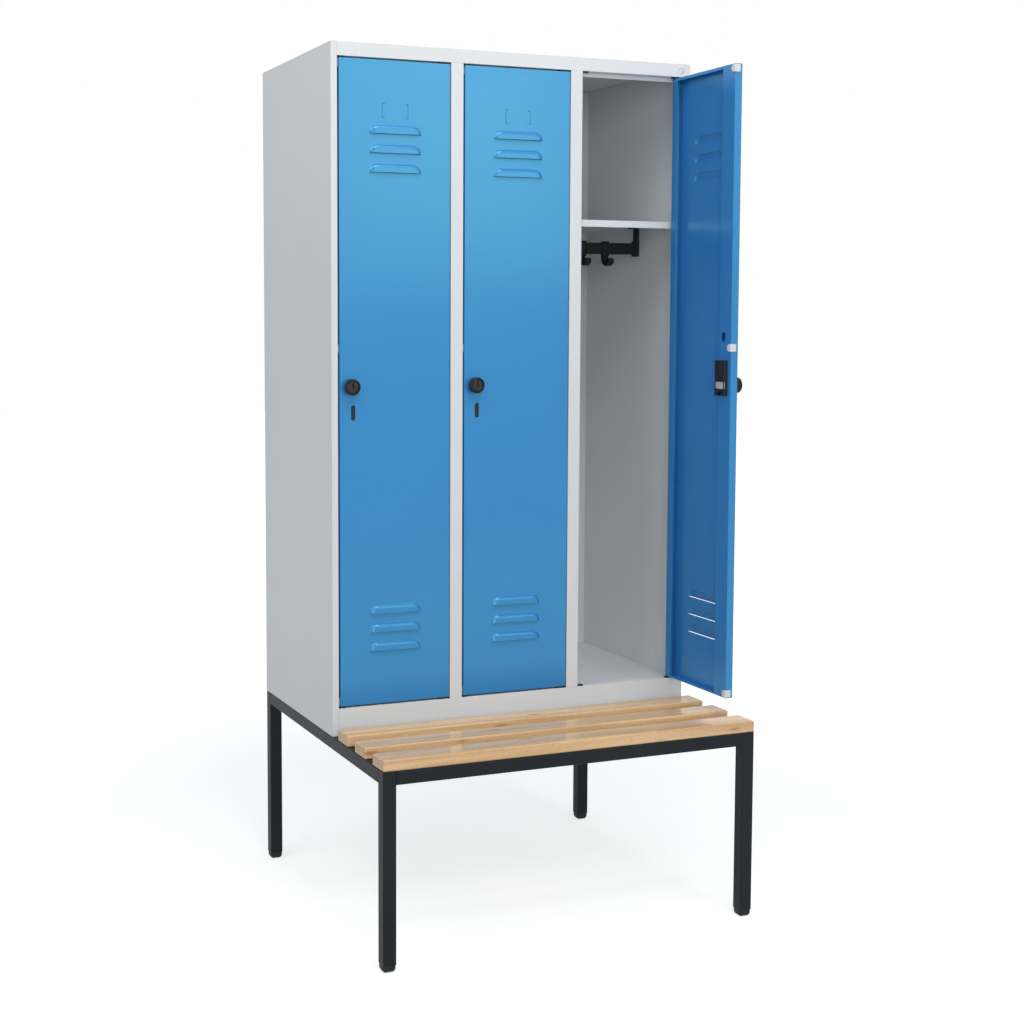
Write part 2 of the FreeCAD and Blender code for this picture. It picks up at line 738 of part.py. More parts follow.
SPINDLE_HOLE = "spindle_diameter / 2 + knob_clearance"
PIN_HOLE = "pin_diameter / 2 + pin_clearance"
door_blank = cut(door_tray, [
    hollows,
    rod("knob_x", "door_face", "lock_z", SPINDLE_HOLE, "door_depth", AXIS_Y),
    rod("0", "0", "0", PIN_HOLE, "sheet"),
    rod("0", "0", "door_height - sheet", PIN_HOLE, "sheet"),
] + upright_slot("slot_width", "slot_height", "lock_x", "door_face", "lock_z - slot_drop", "sheet")
  + upright_slot("spare_hole_width", "spare_hole_height", "lock_x", LIP_BACK,
                 "lock_z + spare_hole_rise", "sheet"))

# Pivot pins: one through each end of the door, into the bushes
PIN_LENGTH = "pin_grip + door_gap + bush_sleeve"
pins_blank = group([
    rod("0", "0", "-(door_gap + bush_sleeve)", "pin_diameter / 2", PIN_LENGTH),
    rod("0", "0", "door_height - pin_grip", "pin_diameter / 2", PIN_LENGTH),
])

# Turn knob with its keyway, and the spindle that runs through the door
knob_blank = doc.addObject("PartDesign::Body", "Knob")
neck = sketch_on(knob_blank, "XZ_Plane", "knob_clearance")
draw_circle(neck, "knob_neck / 2")
pad(knob_blank, neck, "knob_standoff - knob_clearance")
head = sketch_on(knob_blank, "XZ_Plane", "knob_standoff")
draw_circle(head, "knob_diameter / 2")
knob_head = pad(knob_blank, head, "knob_head")
head_front = -(size("knob_standoff") + size("knob_head"))
head_back = -size("knob_standoff")
rounded = round_edges(
    knob_blank, knob_head, "knob_round",
    lambda edge: edge.BoundBox.YMax < head_front + TOLERANCE)
round_edges(
    knob_blank, rounded, "knob_back_round",
    lambda edge: abs(edge.BoundBox.YMax - head_back) < TOLERANCE
    and edge.BoundBox.XLength > size("knob_neck") + TOLERANCE)
spindle = sketch_on(knob_blank, "XZ_Plane", "knob_standoff")
draw_circle(spindle, "spindle_diameter / 2")
pad(knob_blank, spindle, "knob_standoff + door_depth + spindle_reach", inward=True)
keyway = sketch_on(knob_blank, "XZ_Plane", "knob_standoff + knob_head")
draw_rectangle(keyway, "keyway_width", "keyway_height")
doc.recompute()
before_keyway = knob_blank.Shape.Volume
pocket = knob_blank.newObject("PartDesign::Pocket", "Keyway")
pocket.Profile = keyway
bind(pocket, "Length", "keyway_depth")
doc.recompute()
if not knob_blank.Shape.Volume < before_keyway:
    raise RuntimeError("the keyway cuts nothing")
bind_place(knob_blank, "knob_x", "door_face", "lock_z")

# Lock case on the door's lip: the latch runs in a channel behind a window
CASE_LOW_X = "(lock_x - case_width / 2)"
LATCH_Y = "(door_back + case_depth - latch_cover - latch_thickness)"
CHANNEL_HEIGHT = "(latch_height + 2 * latch_clearance)"
WINDOW_HEIGHT = "(latch_height - 2 * latch_lip)"
case_blank = cut(
    box(CASE_LOW_X, "door_back", "lock_z - case_below",
        "case_width", "case_depth", "case_above + case_below"), [
        box(CASE_LOW_X, f"{LATCH_Y} - latch_clearance", f"lock_z - {CHANNEL_HEIGHT} / 2",
            "case_width", "latch_thickness + 2 * latch_clearance", CHANNEL_HEIGHT),
        box("lock_x - latch_length / 2", LATCH_Y, f"lock_z - {WINDOW_HEIGHT} / 2",
            "latch_length", "latch_thickness + latch_cover", WINDOW_HEIGHT),
        box("lock_x - case_fork / 2", "door_back", "lock_z - case_below",
            "case_fork", "case_depth", "fork_height"),
        rod("knob_x", "door_back", "lock_z", SPINDLE_HOLE, "spindle_reach + knob_clearance", AXIS_Y),
    ])
latch_blank = box("lock_x - latch_length / 2", LATCH_Y, "lock_z - latch_height / 2",
                  "latch_length", "latch_thickness", "latch_height")


# Buffers: round-ended clips over the back corner of the free edge, at its ends and by the lock
def buffer(z):
    round_x = "(free_edge + buffer_reach - buffer_height / 2)"
    disc = rod(round_x, "door_back", f"{z} + buffer_height / 2",
               "buffer_height / 2", "buffer_thickness", AXIS_Y)
    outer_half = box(f"{round_x} - buffer_height / 2", "door_back", z,
                     "buffer_height / 2", "buffer_thickness", "buffer_height")
    return fuse([
        box("free_edge - buffer_edge", "door_back - buffer_side", z,
            "buffer_edge", "buffer_side + buffer_thickness", "buffer_height"),
        box("free_edge", "door_back", z, f"{round_x} - free_edge", "buffer_thickness", "buffer_height"),
        cut(disc, [outer_half]),
    ])


buffers_blank = group([buffer(z) for z in (
    "buffer_end",
    "(lock_z + buffer_rise - buffer_height / 2)",
    "(door_height - buffer_height - buffer_end)",
)])

# Every door's pieces stand in its opening, turned about its pivot
DOOR_PIECES = (
    ("door", door_blank),
    ("pivot_pins", pins_blank),
    ("knob", knob_blank),
    ("lock_case", case_blank),
    ("latch", latch_blank),
    ("buffers", buffers_blank),
)
DOOR_ANGLES = (0.0, 0.0, size("right_door_angle"))
for bay, bay_name in enumerate(BAYS):
    for piece_name, blank in DOOR_PIECES:
        placed = group([blank])
        placed.Placement.Rotation = FreeCAD.Rotation(AXIS_Z, DOOR_ANGLES[bay])
        bind_place(placed, PIVOT_X[bay], PIVOT_Y, "opening_bottom + door_gap")
        name_part(f"{piece_name}_{bay_name}", placed)

doc.recompute()
for item in doc.Objects:
    if "Invalid" in item.State or "Error" in item.State:
        raise RuntimeError(f"{item.Label} failed: {item.State}")
for item in sub_parts:
    if item.Shape.isNull() or not item.Shape.isValid() or not item.Shape.Solids:
        raise RuntimeError(f"{item.Label} has no sound solid")

os.makedirs("parts", exist_ok=True)
for item in sub_parts:
    item.Shape.exportStep(f"parts/{item.Label}.step")
print(len(sub_parts), "sub-parts,", sum(len(item.Shape.Solids) for item in sub_parts), "solids")
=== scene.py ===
import json
import math

import bmesh
import bpy
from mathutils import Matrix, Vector

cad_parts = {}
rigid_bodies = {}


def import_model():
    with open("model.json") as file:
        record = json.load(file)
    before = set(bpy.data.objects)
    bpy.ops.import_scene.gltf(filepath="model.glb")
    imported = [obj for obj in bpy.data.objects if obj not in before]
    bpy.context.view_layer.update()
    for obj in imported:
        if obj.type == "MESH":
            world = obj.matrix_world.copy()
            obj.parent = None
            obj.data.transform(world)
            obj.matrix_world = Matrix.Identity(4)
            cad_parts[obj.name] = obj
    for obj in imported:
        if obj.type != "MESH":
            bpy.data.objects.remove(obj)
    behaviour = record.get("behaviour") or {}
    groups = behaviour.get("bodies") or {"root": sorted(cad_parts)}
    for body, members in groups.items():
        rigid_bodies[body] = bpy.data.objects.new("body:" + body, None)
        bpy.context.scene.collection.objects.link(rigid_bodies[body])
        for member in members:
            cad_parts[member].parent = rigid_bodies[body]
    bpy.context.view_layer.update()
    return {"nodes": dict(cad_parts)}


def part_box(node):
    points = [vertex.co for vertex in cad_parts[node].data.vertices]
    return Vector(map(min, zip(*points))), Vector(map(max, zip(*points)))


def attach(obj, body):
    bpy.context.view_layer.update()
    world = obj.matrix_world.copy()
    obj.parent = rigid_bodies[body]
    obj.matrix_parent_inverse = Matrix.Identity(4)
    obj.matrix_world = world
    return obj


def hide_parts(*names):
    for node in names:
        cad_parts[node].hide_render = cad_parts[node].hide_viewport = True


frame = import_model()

# Tube frame: four legs and five rails of square steel tube, welded together and
# powder coated in a dark satin grey. The coat is a little uneven and lightly pebbled.
LEGS = ("leg_front_left", "leg_front_right", "leg_rear_left", "leg_rear_right")
RAILS = ("side_rail_left", "side_rail_right", "front_rail", "middle_rail", "rear_rail")
FRAME_GREY = (0.0128, 0.0156, 0.0182, 1.0)
FRAME_GREY_THIN = (0.0160, 0.0194, 0.0226, 1.0)
WHITE = (1.0, 1.0, 1.0, 1.0)
COAT_CLOUD_SCALE = 3.0
COAT_CLOUD_LIMITS = (0.35, 0.65)
COAT_PATCH_SCALE = 5.0
COAT_ROUGHNESS_SWING = 0.03
COAT_PEBBLE_SCALE = 700.0
COAT_PEBBLE_STRENGTH = 0.05
COAT_PEBBLE_HEIGHT = 0.0002
EDGE_SAMPLES = 4


def add_node(tree, kind, **settings):
    """A node with its properties and the constants of its sockets."""
    node = tree.nodes.new(kind)
    for name, value in settings.items():
        if name in node.inputs:
            node.inputs[name].default_value = value
        else:
            setattr(node, name, value)
    return node


def group_tree(name, inputs, outputs):
    """An empty shader node group with its sockets, and its two end nodes."""
    tree = bpy.data.node_groups.new(name, "ShaderNodeTree")
    for socket_name, socket_type in inputs:
        tree.interface.new_socket(socket_name, in_out="INPUT", socket_type=socket_type)
    for socket_name, socket_type in outputs:
        tree.interface.new_socket(socket_name, in_out="OUTPUT", socket_type=socket_type)
    return tree, tree.nodes.new("NodeGroupInput"), tree.nodes.new("NodeGroupOutput")


def map_range(tree, value, given, wanted=(0.0, 1.0), interpolation="LINEAR"):
    """Carry a value from one range of numbers over to another."""
    node = add_node(tree, "ShaderNodeMapRange", interpolation_type=interpolation)
    for side, limits in (("From", given), ("To", wanted)):
        node.inputs[f"{side} Min"].default_value = limits[0]
        node.inputs[f"{side} Max"].default_value = limits[1]
    tree.links.new(value, node.inputs["Value"])
    return node.outputs["Result"]


def powder_coat_group():
    """Sprayed and baked paint: faint clouds in the colour and a fine pebbled skin."""
    tree, given, result = group_tree(
        "Powder coat",
        [("Colour", "NodeSocketColor"), ("Thin colour", "NodeSocketColor"),
         ("Base roughness", "NodeSocketFloat")],
        [("Colour", "NodeSocketColor"), ("Roughness", "NodeSocketFloat"), ("Height", "NodeSocketFloat")])
    place = add_node(tree, "ShaderNodeTexCoord")
    clouds = add_node(tree, "ShaderNodeTexNoise", Scale=COAT_CLOUD_SCALE, Detail=3.0)
    patches = add_node(tree, "ShaderNodeTexNoise", Scale=COAT_PATCH_SCALE, Detail=1.0)
    pebbles = add_node(tree, "ShaderNodeTexNoise", Scale=COAT_PEBBLE_SCALE, Detail=1.0)
    blend = add_node(tree, "ShaderNodeMix", data_type="RGBA")
    swing = add_node(tree, "ShaderNodeMath", operation="MULTIPLY_ADD")
    swing.inputs[1].default_value = COAT_ROUGHNESS_SWING
    link = tree.links.new
    for noise in (clouds, patches, pebbles):
        link(place.outputs["Object"], noise.inputs["Vector"])
    link(map_range(tree, clouds.outputs["Fac"], COAT_CLOUD_LIMITS), blend.inputs["Factor"])
    link(given.outputs["Colour"], blend.inputs["A"])
    link(given.outputs["Thin colour"], blend.inputs["B"])
    link(patches.outputs["Fac"], swing.inputs[0])
    link(given.outputs["Base roughness"], swing.inputs[2])
    link(blend.outputs["Result"], result.inputs["Colour"])
    link(swing.outputs["Value"], result.inputs["Roughness"])
    link(pebbles.outputs["Fac"], result.inputs["Height"])
    return tree


def new_material(name):
    """A material with nodes, with its tree and its main shader."""
    material = bpy.data.materials.new(name)
    material.use_nodes = True
    return material, material.node_tree, material.node_tree.nodes["Principled BSDF"]


def add_skin(tree, shader, height, strength, distance, edge):
    """Bump from a height, over edges that catch the light as if rounded."""
    edges = add_node(tree, "ShaderNodeBevel", Radius=edge, samples=EDGE_SAMPLES)
    bump = add_node(tree, "ShaderNodeBump", Strength=strength, Distance=distance)
    tree.links.new(height, bump.inputs["Height"])
    tree.links.new(edges.outputs["Normal"], bump.inputs["Normal"])
    tree.links.new(bump.outputs["Normal"], shader.inputs["Normal"])


powder_coat = powder_coat_group()


def painted_steel(name, colour, thin_colour, roughness, shine, fold, tint=WHITE):
    """Powder coat on steel sheet or tube, whose folds have the given radius."""
    material, tree, shader = new_material(name)
    coat = add_node(tree, "ShaderNodeGroup", node_tree=powder_coat)
    coat.inputs["Colour"].default_value = colour
    coat.inputs["Thin colour"].default_value = thin_colour
    coat.inputs["Base roughness"].default_value = roughness
    tree.links.new(coat.outputs["Colour"], shader.inputs["Base Color"])
    tree.links.new(coat.outputs["Roughness"], shader.inputs["Roughness"])
    shader.inputs["Specular IOR Level"].default_value = shine
    shader.inputs["Specular Tint"].default_value = tint
    add_skin(tree, shader, coat.outputs["Height"], COAT_PEBBLE_STRENGTH, COAT_PEBBLE_HEIGHT, fold)
    return material


def dress(material, *names):
    """Give CAD nodes their finish."""
    for name in names:
        for place in frame["nodes"][name].material_slots:
            place.material = material


frame_paint = painted_steel(
    "frame paint", FRAME_GREY, FRAME_GREY_THIN, roughness=0.46, shine=0.14, fold=0.0003)
dress(frame_paint, *LEGS, *RAILS)

# Feet: moulded black plastic glides with a rounded sole. A plug on top of each is pressed
# into the end of its leg. The fine even grain of the mould shows on them.
BLACK_PLASTIC = (0.012, 0.012, 0.013, 1.0)
BLACK_PLASTIC_WORN = (0.022, 0.022, 0.023, 1.0)
PLASTIC_WEAR_SCALE = 55.0
PLASTIC_WEAR_LIMITS = (0.45, 0.75)
PLASTIC_WEAR_ROUGHNESS = 0.14
PLASTIC_GRAIN_SCALE = 2200.0
PLASTIC_GRAIN_HEIGHT = 0.0001
FOOT_CORNER = 0.007
FOOT_CORNER_STEPS = 5
FOOT_ROUND = 0.0095
FOOT_ROUND_STEPS = 7
FOOT_PLUG_INSET = 0.0022
FOOT_CREASE = math.radians(40.0)
NEAR = 1e-5
FACING = 0.9


def moulded_plastic_group():
    """Moulded plastic: fine grain from the mould, and duller where it was handled."""
    tree, given, result = group_tree(
        "Moulded plastic",
        [("Colour", "NodeSocketColor"), ("Worn colour", "NodeSocketColor"),
         ("Base roughness", "NodeSocketFloat")],
        [("Colour", "NodeSocketColor"), ("Roughness", "NodeSocketFloat"), ("Height", "NodeSocketFloat")])
    place = add_node(tree, "ShaderNodeTexCoord")
    handling = add_node(tree, "ShaderNodeTexNoise", Scale=PLASTIC_WEAR_SCALE, Detail=4.0)
    grain = add_node(tree, "ShaderNodeTexNoise", Scale=PLASTIC_GRAIN_SCALE, Detail=1.0)
    blend = add_node(tree, "ShaderNodeMix", data_type="RGBA")
    dulled = add_node(tree, "ShaderNodeMath", operation="MULTIPLY_ADD")
    dulled.inputs[1].default_value = PLASTIC_WEAR_ROUGHNESS
    worn = map_range(tree, handling.outputs["Fac"], PLASTIC_WEAR_LIMITS)
    link = tree.links.new
    for noise in (handling, grain):
        link(place.outputs["Object"], noise.inputs["Vector"])
    link(worn, blend.inputs["Factor"])
    link(given.outputs["Colour"], blend.inputs["A"])
    link(given.outputs["Worn colour"], blend.inputs["B"])
    link(worn, dulled.inputs[0])
    link(given.outputs["Base roughness"], dulled.inputs[2])
    link(blend.outputs["Result"], result.inputs["Colour"])
    link(dulled.outputs["Value"], result.inputs["Roughness"])
    link(grain.outputs["Fac"], result.inputs["Height"])
    return tree


moulded_plastic = moulded_plastic_group()


def plastic(name, colour, worn_colour, roughness, shine, grain, edge):
    """Moulded plastic with grain of the given strength and rounded edges."""
    material, tree, shader = new_material(name)
    skin = add_node(tree, "ShaderNodeGroup", node_tree=moulded_plastic)
    skin.inputs["Colour"].default_value = colour
    skin.inputs["Worn colour"].default_value = worn_colour
    skin.inputs["Base roughness"].default_value = roughness
    tree.links.new(skin.outputs["Colour"], shader.inputs["Base Color"])
    tree.links.new(skin.outputs["Roughness"], shader.inputs["Roughness"])
    shader.inputs["Specular IOR Level"].default_value = shine
    add_skin(tree, shader, skin.outputs["Height"], grain, PLASTIC_GRAIN_HEIGHT, edge)
    return material


def pick(piece, kind, test):
    """Select the faces or edges whose middle passes a test, in edit mode."""
    bpy.ops.mesh.select_mode(type=kind)
    bpy.ops.mesh.select_all(action="DESELECT")
    shape = bmesh.from_edit_mesh(piece.data)
    for part in (shape.faces if kind == "FACE" else shape.edges):
        middle = sum((corner.co for corner in part.verts), start=Vector()) / len(part.verts)
        part.select_set(test(middle, part))
    shape.select_flush_mode()
    bmesh.update_edit_mesh(piece.data)


def shift(x, y, z):
    """Move what is selected."""
    bpy.ops.transform.translate(value=(x, y, z))


def extrude(x, y, z):
    """Draw the selected face out along a way."""
    bpy.ops.mesh.extrude_region_move(TRANSFORM_OT_translate={"value": (x, y, z)})


def settle():
    """Put the selected object's place, turn and scale into its mesh."""
    bpy.ops.object.transform_apply(location=True, rotation=True, scale=True)


def start_piece(name):
    """Name the primitive that was just added, settle it and open it in edit mode."""
    piece = bpy.context.object
    piece.name = name
    settle()
    bpy.ops.object.mode_set(mode="EDIT")
    return piece


def end_piece(piece, material, crease):
    """Turn the faces outwards, leave edit mode, smooth the shape and give it its finish."""
    bpy.ops.mesh.select_all(action="SELECT")
    bpy.ops.mesh.normals_make_consistent(inside=False)
    bpy.ops.object.mode_set(mode="OBJECT")
    bpy.ops.object.shade_smooth_by_angle(angle=crease)
    piece.data.materials.append(material)


black_plastic = plastic(
    "black plastic", BLACK_PLASTIC, BLACK_PLASTIC_WORN, roughness=0.48, shine=0.25, grain=0.25, edge=0.001)
dress(black_plastic, "feet")
leg_low, leg_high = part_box(LEGS[0])
foot_height = leg_low[2]
foot_side = leg_high[0] - leg_low[0]
foot_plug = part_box("feet")[1][2] - foot_height
foot_x = (leg_low[0] + leg_high[0]) / 2
foot_y = (leg_low[1] + leg_high[1]) / 2
bpy.ops.object.select_all(action="DESELECT")
bpy.ops.mesh.primitive_cube_add(
    size=1.0, scale=(foot_side, foot_side, foot_height), location=(foot_x, foot_y, foot_height / 2))
foot = start_piece("glide_feet")
pick(foot, "EDGE", lambda middle, edge: abs(middle.z - foot_height / 2) < NEAR)
bpy.ops.mesh.bevel(offset=FOOT_CORNER, segments=FOOT_CORNER_STEPS)
pick(foot, "FACE", lambda middle, face: face.normal.z > FACING)
bpy.ops.mesh.inset(thickness=FOOT_PLUG_INSET)
extrude(0.0, 0.0, foot_plug)
pick(foot, "EDGE", lambda middle, edge: abs(middle.z) < NEAR)
bpy.ops.mesh.bevel(offset=FOOT_ROUND, segments=FOOT_ROUND_STEPS)
end_piece(foot, black_plastic, FOOT_CREASE)
for leg, next_leg in zip(LEGS, LEGS[1:]):
    bpy.ops.object.duplicate()
    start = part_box(leg)[0]
    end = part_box(next_leg)[0]
    shift(end[0] - start[0], end[1] - start[1], 0.0)
    settle()
bpy.ops.object.select_pattern(pattern="glide_feet*", extend=False)
bpy.context.view_layer.objects.active = foot
bpy.ops.object.join()
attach(foot, "carcass")
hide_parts("feet")

# Bench slats: solid beech, planed, with eased edges, under a clear satin lacquer.
# The grain runs along the slat, with short dark flecks, a few knots and rings on the ends.
# They lie across the side rails and are bolted down from below.
BEECH_PALE = (0.820, 0.540, 0.302, 1.0)
BEECH_DEEP = (0.670, 0.405, 0.196, 1.0)
BEECH_FLECK = (0.330, 0.180, 0.085, 1.0)
BEECH_KNOT = (0.420, 0.190, 0.080, 1.0)
BAND_STRETCH = (0.9, 26.0, 26.0)
BAND_LIMITS = (0.36, 0.66)
FIBRE_STRETCH = (5.0, 260.0, 260.0)
FIBRE_LIMITS = (0.45, 0.75)
FIBRE_SHARE = 0.35
FIBRE_STRENGTH = 0.15
FIBRE_HEIGHT = 0.0002
FLECK_STRETCH = (110.0, 620.0, 620.0)
FLECK_LIMITS = (0.64, 0.72)
FLECK_SHARE = 0.22
KNOT_STRETCH = (6.0, 24.0, 24.0)
KNOT_SHIFT = (0.37, 0.2, 0.1)
KNOT_LIMITS = (0.16, 0.05)
KNOT_SHARE = 0.75
RING_SCALE = 60.0
PITH_SHIFT = (0.0, 0.31, -0.35)
END_LIMITS = (0.75, 0.95)
END_SHARE = 0.55
SATIN_LIMITS = (0.2, 2.2)
SLAT_EDGE = 0.002
LACQUER_WEIGHT = 0.06
LACQUER_ROUGHNESS = 0.22
LACQUER_SHINE = 0.22


def stretched_noise(tree, place, stretch, **settings):
    """Noise with its own scale along each axis, on the piece's own coordinates."""
    stretcher = add_node(tree, "ShaderNodeMapping", Scale=stretch)
    noise = add_node(tree, "ShaderNodeTexNoise", **settings)
    tree.links.new(place.outputs["Object"], stretcher.inputs["Vector"])
    tree.links.new(stretcher.outputs["Vector"], noise.inputs["Vector"])
    return noise.outputs["Fac"]


def soft_mask(tree, value, limits, share=1.0):
    """Mask that rises softly between two limits of a value, up to a share."""
    return map_range(tree, value, limits, (0.0, share), "SMOOTHSTEP")


def mix_colour(tree, mask, first, second):
    """Blend two colours, each a plain value or another node's output."""
    node = add_node(tree, "ShaderNodeMix", data_type="RGBA")
    tree.links.new(mask, node.inputs["Factor"])
    for socket_name, colour in (("A", first), ("B", second)):
        if isinstance(colour, tuple):
            node.inputs[socket_name].default_value = colour
        else:
            tree.links.new(colour, node.inputs[socket_name])
    return node.outputs["Result"]


def beech():
    """Lacquered beech: bands, fibres, flecks and knots along the slat, rings on its ends."""
    material, tree, shader = new_material("beech")
    link = tree.links.new
    place = add_node(tree, "ShaderNodeTexCoord")
    bands = stretched_noise(tree, place, BAND_STRETCH, Scale=1.6, Detail=5.0, Distortion=0.6)
    fibres = stretched_noise(tree, place, FIBRE_STRETCH, Scale=2.0, Detail=3.0)
    flecks = stretched_noise(tree, place, FLECK_STRETCH, Scale=1.0, Detail=0.0)
    spots = add_node(tree, "ShaderNodeMapping", Scale=KNOT_STRETCH, Location=KNOT_SHIFT)
    knots = add_node(tree, "ShaderNodeTexVoronoi", Scale=1.0)
    link(place.outputs["Object"], spots.inputs["Vector"])
    link(spots.outputs["Vector"], knots.inputs["Vector"])
    colour = mix_colour(tree, soft_mask(tree, bands, BAND_LIMITS), BEECH_PALE, BEECH_DEEP)
    colour = mix_colour(tree, soft_mask(tree, fibres, FIBRE_LIMITS, FIBRE_SHARE), colour, BEECH_DEEP)
    colour = mix_colour(tree, soft_mask(tree, flecks, FLECK_LIMITS, FLECK_SHARE), colour, BEECH_FLECK)
    knot_mask = soft_mask(tree, knots.outputs["Distance"], KNOT_LIMITS, KNOT_SHARE)
    colour = mix_colour(tree, knot_mask, colour, BEECH_KNOT)
    pith = add_node(tree, "ShaderNodeMapping", Location=PITH_SHIFT)
    rings = add_node(tree, "ShaderNodeTexWave", wave_type="RINGS", rings_direction="X",
                     Scale=RING_SCALE, Distortion=2.5, Detail=2.0)
    link(place.outputs["Object"], pith.inputs["Vector"])
    link(pith.outputs["Vector"], rings.inputs["Vector"])
    end_grain = mix_colour(tree, rings.outputs["Fac"], BEECH_DEEP, BEECH_FLECK)
    facing = add_node(tree, "ShaderNodeNewGeometry")
    split = add_node(tree, "ShaderNodeSeparateXYZ")
    sideways = add_node(tree, "ShaderNodeMath", operation="ABSOLUTE")
    link(facing.outputs["True Normal"], split.inputs["Vector"])
    link(split.outputs["X"], sideways.inputs[0])
    end_mask = soft_mask(tree, sideways.outputs["Value"], END_LIMITS, END_SHARE)
    link(mix_colour(tree, end_mask, colour, end_grain), shader.inputs["Base Color"])
    link(soft_mask(tree, fibres, SATIN_LIMITS), shader.inputs["Roughness"])
    shader.inputs["Specular IOR Level"].default_value = LACQUER_SHINE
    shader.inputs["Coat Weight"].default_value = LACQUER_WEIGHT
    shader.inputs["Coat Roughness"].default_value = LACQUER_ROUGHNESS
    add_skin(tree, shader, fibres, FIBRE_STRENGTH, FIBRE_HEIGHT, SLAT_EDGE)
    return material


dress(beech(), "slat_front", "slat_middle", "slat_rear")

# Slat bolts: zinc-plated steel bolts, put in from below through the side rails. The
# zinc is bright where it is new and dull in patches.
ZINC = (0.46, 0.47, 0.48, 1.0)
ZINC_DULL = (0.33, 0.34, 0.35, 1.0)
METAL_CLOUD_SCALE = 160.0
METAL_CLOUD_LIMITS = (0.35, 0.75)
METAL_LINE_STRETCH = (40.0, 40.0, 1500.0)
METAL_LINE_STRENGTH = 0.08
METAL_LINE_HEIGHT = 0.0001
METAL_EDGE = 0.0005


def bright_metal(name, colour, dull_colour, smooth, rough):
    """Metal with cloudy dull patches and fine drawing lines, between two roughnesses."""
    material, tree, shader = new_material(name)
    place = add_node(tree, "ShaderNodeTexCoord")
    clouds = add_node(tree, "ShaderNodeTexNoise", Scale=METAL_CLOUD_SCALE, Detail=4.0)
    tree.links.new(place.outputs["Object"], clouds.inputs["Vector"])
    dull = soft_mask(tree, clouds.outputs["Fac"], METAL_CLOUD_LIMITS)
    roughness = map_range(tree, dull, (0.0, 1.0), (smooth, rough))
    tree.links.new(mix_colour(tree, dull, colour, dull_colour), shader.inputs["Base Color"])
    tree.links.new(roughness, shader.inputs["Roughness"])
    shader.inputs["Metallic"].default_value = 1.0
    lines = stretched_noise(tree, place, METAL_LINE_STRETCH, Scale=1.0, Detail=2.0)
    add_skin(tree, shader, lines, METAL_LINE_STRENGTH, METAL_LINE_HEIGHT, METAL_EDGE)
    return material


dress(bright_metal("zinc", ZINC, ZINC_DULL, smooth=0.28, rough=0.5), "slat_bolts")

# Carcass: folded and welded sheet steel in pale grey powder coat. Side panels with
# front stiles, two partitions with box posts, roof with header, floor with plinth, back.
CARCASS_GREY = (0.725, 0.740, 0.748, 1.0)
CARCASS_GREY_THIN = (0.708, 0.723, 0.733, 1.0)
carcass_paint = painted_steel(
    "carcass paint", CARCASS_GREY, CARCASS_GREY_THIN, roughness=0.3, shine=0.25, fold=0.002)
dress(carcass_paint, "side_panel_left", "side_panel_right", "partition_left", "partition_right",
      "roof", "floor", "back_panel")

# Hat shelves: one tray in each bay, folded from sheet steel, open below and held between
# the bay's two walls. They have the carcass's pale grey powder coat.
BAYS = ("left", "middle", "right")
dress(carcass_paint, *[f"hat_shelf_{bay}" for bay in BAYS])

# Coat rails: flat black plastic bars whose ends sit in brackets that hang from the
# shelves. Rail and brackets are moulded from the same plastic.
RAIL_BLACK = (0.010, 0.010, 0.011, 1.0)
RAIL_BLACK_WORN = (0.017, 0.017, 0.018, 1.0)
rail_plastic = plastic(
    "rail plastic", RAIL_BLACK, RAIL_BLACK_WORN, roughness=0.5, shine=0.25, grain=0.3, edge=0.0012)
dress(rail_plastic, "rail_brackets", *[f"coat_rail_{bay}" for bay in BAYS])

# Coat hooks: moulded in one piece from the rails' plastic. A band slides on the rail,
# and below it a bow curls to the front, with rounded edges and a rounded tip.
HOOK_PLACES = (1, 2, 3)
HOOK_WIDTH = 0.016
HOOK_CLEARANCE = 0.0002
HOOK_BOW_RADIUS = 0.023
HOOK_BOW_WALL = 0.011
HOOK_CURL = math.radians(146.0)
HOOK_CURL_STEPS = 12
HOOK_TIP = 0.006
HOOK_TIP_TAPER = 0.66
HOOK_ROUND = 0.0024
HOOK_ROUND_STEPS = 3
HOOK_CREASE = math.radians(40.0)


def centre_of(node):
    """The middle of a CAD node's box."""
    low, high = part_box(node)
    return [(a + b) / 2 for a, b in zip(low, high)]


def choose(piece):
    """Make a piece the one that is selected and active."""
    bpy.ops.object.select_all(action="DESELECT")
    piece.select_set(True)
    bpy.context.view_layer.objects.active = piece


def cut_away(piece, cutter):
    """Cut one piece out of another and delete the cutter."""
    carve = piece.modifiers.new("cut", "BOOLEAN")
    carve.operation = "DIFFERENCE"
    carve.object = cutter
    choose(piece)
    bpy.ops.object.modifier_apply(modifier=carve.name)
    bpy.data.objects.remove(cutter)


def duplicate(piece, name):
    """A copy with its own mesh, selected and active."""
    choose(piece)
    bpy.ops.object.duplicate()
    copy = bpy.context.object
    copy.name = name
    return copy


rail_low, rail_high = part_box("coat_rail_left")
hook_low, hook_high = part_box("hook_left_1")
hook_x = centre_of("hook_left_1")[0]
_, rail_y, rail_z = centre_of("coat_rail_left")
rail_depth = rail_high[1] - rail_low[1]
rail_height = rail_high[2] - rail_low[2]
band_wall = hook_high[2] - rail_high[2]
band_depth = rail_depth + 2 * band_wall
band_height = rail_height + 2 * band_wall
band_back = rail_y + band_depth / 2
bow_y = band_back - HOOK_BOW_RADIUS
bow_z = hook_low[2] + HOOK_BOW_RADIUS
bpy.ops.object.select_all(action="DESELECT")
bpy.ops.mesh.primitive_cube_add(
    size=1.0, scale=(HOOK_WIDTH, band_depth, band_height), location=(hook_x, rail_y, rail_z))
hook = start_piece("coat_hook_left_1")
pick(hook, "FACE", lambda middle, face: face.normal.z < -FACING)
extrude(0.0, 0.0, bow_z - (rail_z - band_height / 2))
